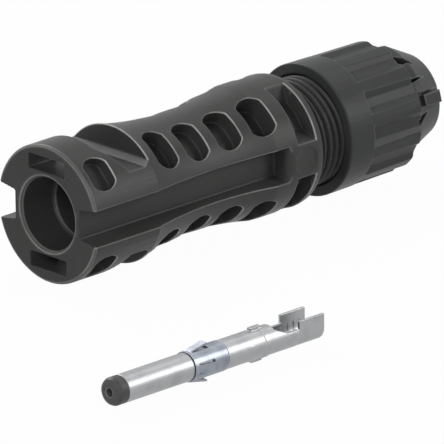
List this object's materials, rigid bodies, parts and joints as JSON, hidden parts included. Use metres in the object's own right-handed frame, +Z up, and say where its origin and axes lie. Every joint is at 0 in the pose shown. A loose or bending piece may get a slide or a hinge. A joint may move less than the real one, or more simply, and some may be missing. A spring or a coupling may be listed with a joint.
{
  "type": "solar panel cable coupler",
  "caption": "Socket-shaped cable coupler for a solar panel lead, with a screw cap nut, clamp cage, seal and its own crimp pin contact laid beside it.",
  "frame": {"origin": "centre of the mating face, on the axis of the socket", "axes": "+X along the coupler from the mating face to the cable end, +Y away from the side channel seen in the picture, +Z up with the coupler lying on its side"},
  "size_m": [0.0991, 0.0558, 0.0198],
  "materials": {
    "housing_plastic": "charcoal glass-filled plastic, fine moulded satin",
    "nut_plastic": "charcoal glass-filled plastic, fine moulded satin",
    "cage_plastic": "black plastic, satin",
    "seal_rubber": "black silicone rubber, matt",
    "contact_metal": "tin-plated copper alloy sheet, satin",
    "spring_metal": "stainless spring strip, satin",
    "tip_plastic": "black plastic, satin"
  },
  "bodies": {
    "coupler": {"housing": "housing_plastic", "contact_body": "contact_metal", "contact_spring": "spring_metal", "contact_tip": "tip_plastic"},
    "gland": {"clamp_cage": "cage_plastic", "cable_seal": "seal_rubber"},
    "nut": {"cap_nut": "nut_plastic"}
  },
  "joints": [
    {"name": "gland_slide", "type": "slide", "parent": "coupler", "child": "gland", "axis": [1, 0, 0], "range_m": [-0.0048, 0.0048]},
    {"name": "nut_screw", "type": "hinge", "parent": "gland", "child": "nut", "pos_m": [0.0588, 0, 0], "axis": [1, 0, 0], "range_deg": [-1440, 1440]}
  ],
  "couplings": [
    {"joint": "gland_slide", "follows": "nut_screw", "m_per_rad": 0.00019098}
  ]
}
